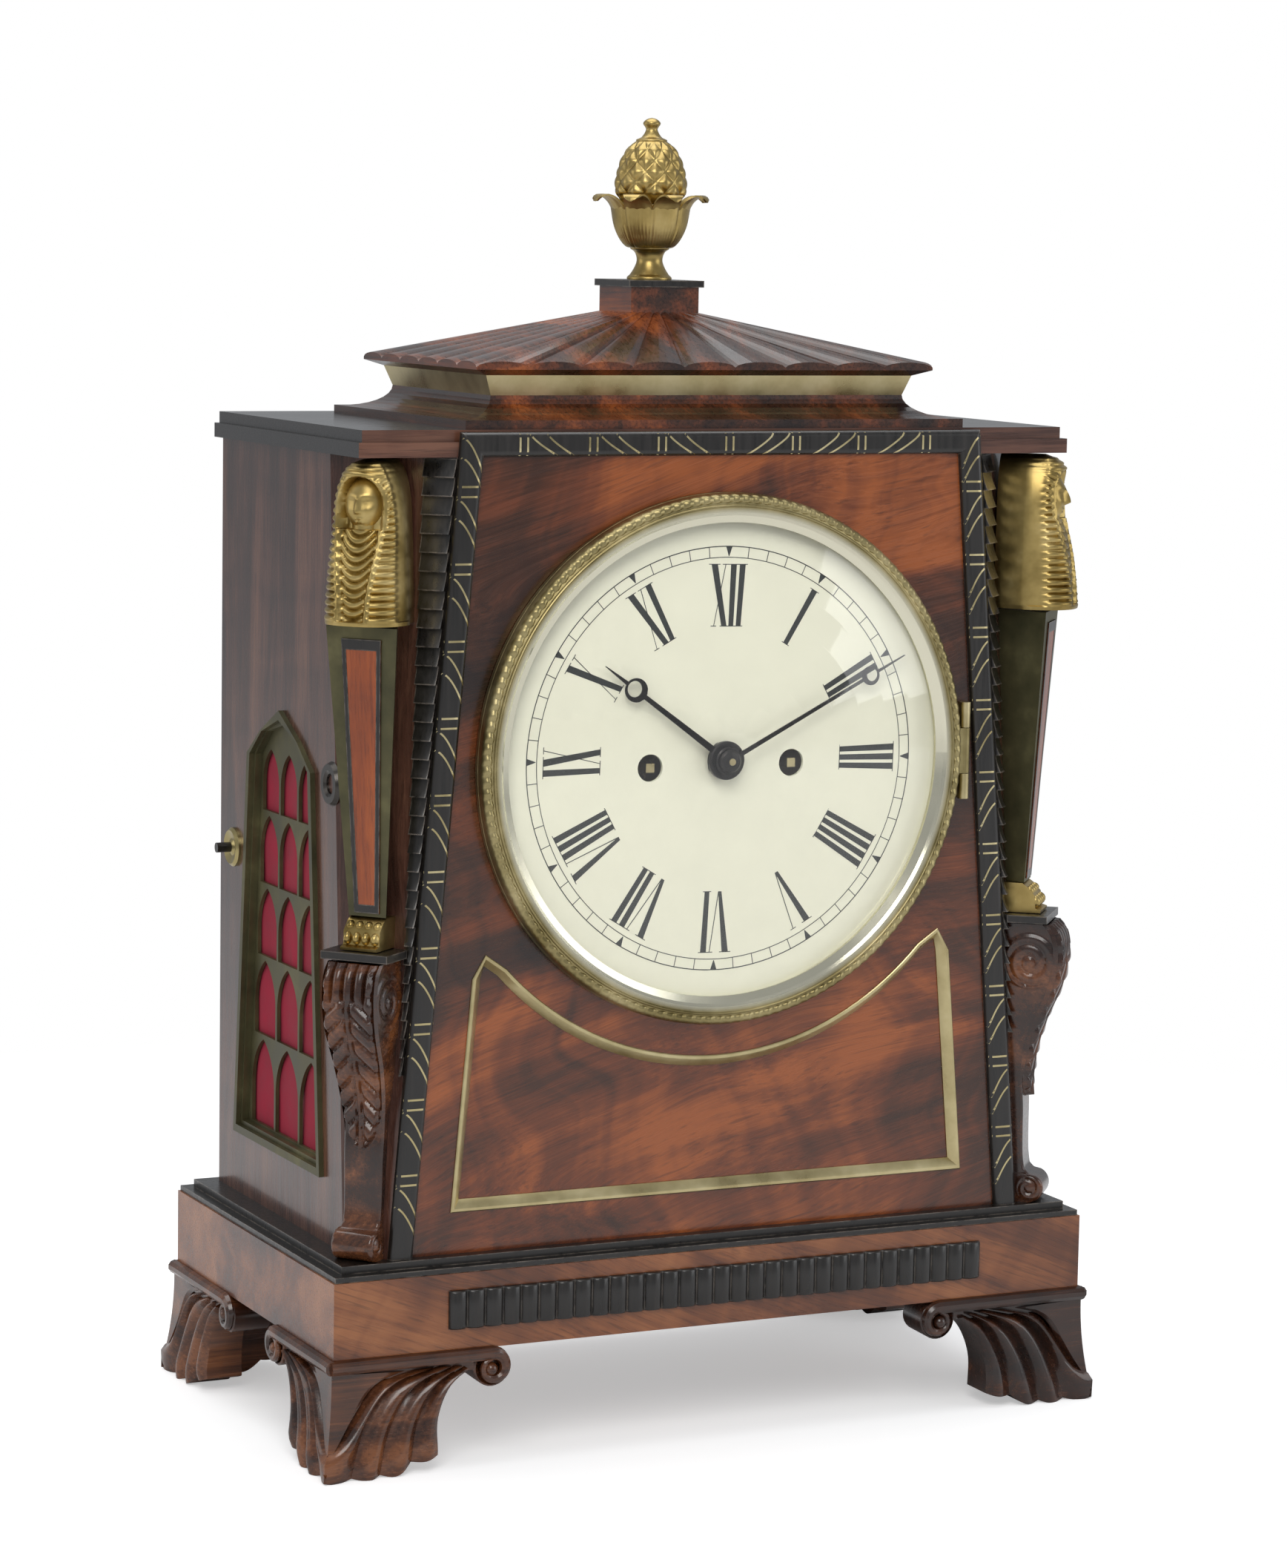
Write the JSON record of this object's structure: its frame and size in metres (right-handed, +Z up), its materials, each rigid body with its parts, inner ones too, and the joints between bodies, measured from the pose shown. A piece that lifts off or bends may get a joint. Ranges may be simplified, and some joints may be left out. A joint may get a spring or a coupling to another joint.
{
  "type": "bracket clock",
  "caption": "Bracket clock: tapering mahogany case with ebonised mouldings, brass mounts, hinged glazed dial, lobed roof with finial, glazed back door and a striking spring movement.",
  "frame": {"origin": "centre of the footprint at the level that the feet stand on", "axes": "+Z up, the dial faces -Y, +X to the right as the dial is read"},
  "size_m": [0.3708, 0.2066, 0.5613],
  "materials": {
    "mahogany": "french polished",
    "ebonised_wood": "ebonised, waxed",
    "rosewood": "waxed, with ebonised edges",
    "satinwood": "polished panel with an ebony line",
    "brass": "polished, lightly toned",
    "gilt_brass": "lacquered, worn",
    "aged_brass": "satin, toned",
    "bell_metal": "turned bell metal",
    "steel": "hardened and polished",
    "painted_dial": "satin cream enamel paint",
    "dark_steel": "blackened",
    "glass": "clear",
    "crimson_cloth": "silk",
    "gut": "gut line"
  },
  "bodies": {
    "case": {"back_door_pins": "brass", "bell": "bell_metal", "bezel_hinge": "brass", "bracket_feet": "mahogany", "brass_band": "brass", "corbel_caps": "ebonised_wood", "corbels": "mahogany", "corner_boards": "mahogany", "dial_plate": "painted_dial", "finial_block": "mahogany", "finial_block_cap": "ebonised_wood", "finial_petals": "gilt_brass", "finial_pineapple": "gilt_brass", "finial_socle": "gilt_brass", "front_border": "ebonised_wood", "front_mask": "mahogany", "gut_lines": "gut", "herm_bodies": "aged_brass", "herm_feet": "gilt_brass", "herm_heads": "gilt_brass", "herm_inlays": "satinwood", "movement_frame": "brass", "panel_moulding": "brass", "plinth_box": "mahogany", "plinth_moulding": "ebonised_wood", "reeded_panel": "ebonised_wood", "ripple_strips": "ebonised_wood", "roof": "mahogany", "roof_cove": "mahogany", "seat_board": "mahogany", "side_cloths": "crimson_cloth", "side_fret_left": "brass", "side_fret_right": "brass", "side_panel_left": "mahogany", "side_panel_right": "mahogany", "side_roses": "brass", "spring_barrels": "brass", "top_board": "rosewood"},
    "bezel": {"bezel": "brass", "bezel_glass": "glass"},
    "back_door": {"back_door_frame": "mahogany", "back_door_glass": "glass", "back_door_fittings": "brass"},
    "minute_train": {"cannon": "brass", "minute_hand": "dark_steel"},
    "centre_wheel": {"centre_arbor": "brass"},
    "hour_train": {"hour_wheel": "brass", "hour_hand": "dark_steel"},
    "minute_wheel": {"minute_wheel": "brass"},
    "going_fusee": {"going_fusee": "brass"},
    "third_wheel": {"third_wheel": "brass"},
    "escape_wheel": {"escape_wheel": "brass"},
    "pallets": {"pallets": "steel"},
    "pendulum": {"pendulum": "brass"},
    "strike_fusee": {"strike_fusee": "brass"},
    "pin_wheel": {"pin_wheel": "brass"},
    "locking_wheel": {"locking_wheel": "brass"},
    "fly": {"fly": "brass"},
    "hammer": {"hammer": "steel"},
    "repeat_button": {"repeat_button": "dark_steel"}
  },
  "joints": [
    {"name": "bezel_hinge", "type": "hinge", "parent": "case", "child": "bezel", "pos_m": [0.1164, -0.0877, 0.292], "axis": [0, 0, 1], "range_deg": [0, 110]},
    {"name": "back_door_hinge", "type": "hinge", "parent": "case", "child": "back_door", "pos_m": [-0.1502, 0.0863, 0.25435], "axis": [0, 0, 1], "range_deg": [0, 110]},
    {"name": "minute_turn", "type": "hinge", "parent": "case", "child": "minute_train", "pos_m": [0, -0.02, 0.292], "axis": [0, 1, 0], "continuous": true},
    {"name": "centre_wheel_turn", "type": "hinge", "parent": "case", "child": "centre_wheel", "pos_m": [0, -0.02, 0.292], "axis": [0, 1, 0], "continuous": true},
    {"name": "hour_turn", "type": "hinge", "parent": "case", "child": "hour_train", "pos_m": [0, -0.02, 0.292], "axis": [0, 1, 0], "continuous": true},
    {"name": "minute_wheel_turn", "type": "hinge", "parent": "case", "child": "minute_wheel", "pos_m": [-0.01248, -0.02, 0.28076], "axis": [0, 1, 0], "continuous": true},
    {"name": "going_fusee_turn", "type": "hinge", "parent": "case", "child": "going_fusee", "pos_m": [0.0332, -0.02, 0.2894], "axis": [0, 1, 0], "continuous": true},
    {"name": "third_wheel_turn", "type": "hinge", "parent": "case", "child": "third_wheel", "pos_m": [-0.012, -0.02, 0.31396], "axis": [0, 1, 0], "continuous": true},
    {"name": "escape_wheel_turn", "type": "hinge", "parent": "case", "child": "escape_wheel", "pos_m": [0, -0.02, 0.3315], "axis": [0, 1, 0], "continuous": true},
    {"name": "pendulum_swing", "type": "hinge", "parent": "case", "child": "pendulum", "pos_m": [0, -0.02, 0.355], "axis": [0, 1, 0], "range_deg": [-4, 4]},
    {"name": "pallets_rock", "type": "hinge", "parent": "case", "child": "pallets", "pos_m": [0, -0.02, 0.355], "axis": [0, 1, 0], "range_deg": [-4, 4]},
    {"name": "strike_fusee_turn", "type": "hinge", "parent": "case", "child": "strike_fusee", "pos_m": [-0.0332, -0.02, 0.2894], "axis": [0, 1, 0], "continuous": true},
    {"name": "pin_wheel_turn", "type": "hinge", "parent": "case", "child": "pin_wheel", "pos_m": [-0.047, -0.02, 0.3133], "axis": [0, 1, 0], "continuous": true},
    {"name": "locking_wheel_turn", "type": "hinge", "parent": "case", "child": "locking_wheel", "pos_m": [-0.03888, -0.02, 0.32795], "axis": [0, 1, 0], "continuous": true},
    {"name": "fly_turn", "type": "hinge", "parent": "case", "child": "fly", "pos_m": [-0.0338, -0.02, 0.34119], "axis": [0, 1, 0], "continuous": true},
    {"name": "hammer_lift", "type": "hinge", "parent": "case", "child": "hammer", "pos_m": [0.04, -0.02, 0.35], "axis": [0, 1, 0], "range_deg": [0, 14], "stiffness_Nm_per_rad": 0.02, "springref_deg": -8.59},
    {"name": "repeat_button_push", "type": "slide", "parent": "case", "child": "repeat_button", "axis": [1, 0, 0], "range_m": [0, 0.004], "stiffness_N_per_m": 250, "springref_m": -0.002}
  ],
  "couplings": [
    {"joint": "hour_turn", "follows": "minute_turn", "ratio": 0.083333},
    {"joint": "minute_wheel_turn", "follows": "minute_turn", "ratio": -0.33333},
    {"joint": "centre_wheel_turn", "follows": "third_wheel_turn", "ratio": -0.083333},
    {"joint": "going_fusee_turn", "follows": "third_wheel_turn", "ratio": 0.0069444},
    {"joint": "escape_wheel_turn", "follows": "third_wheel_turn", "ratio": -11.143},
    {"joint": "pallets_rock", "follows": "pendulum_swing", "ratio": 1},
    {"joint": "pin_wheel_turn", "follows": "locking_wheel_turn", "ratio": -0.11667},
    {"joint": "strike_fusee_turn", "follows": "locking_wheel_turn", "ratio": 0.011111},
    {"joint": "fly_turn", "follows": "locking_wheel_turn", "ratio": -8}
  ]
}
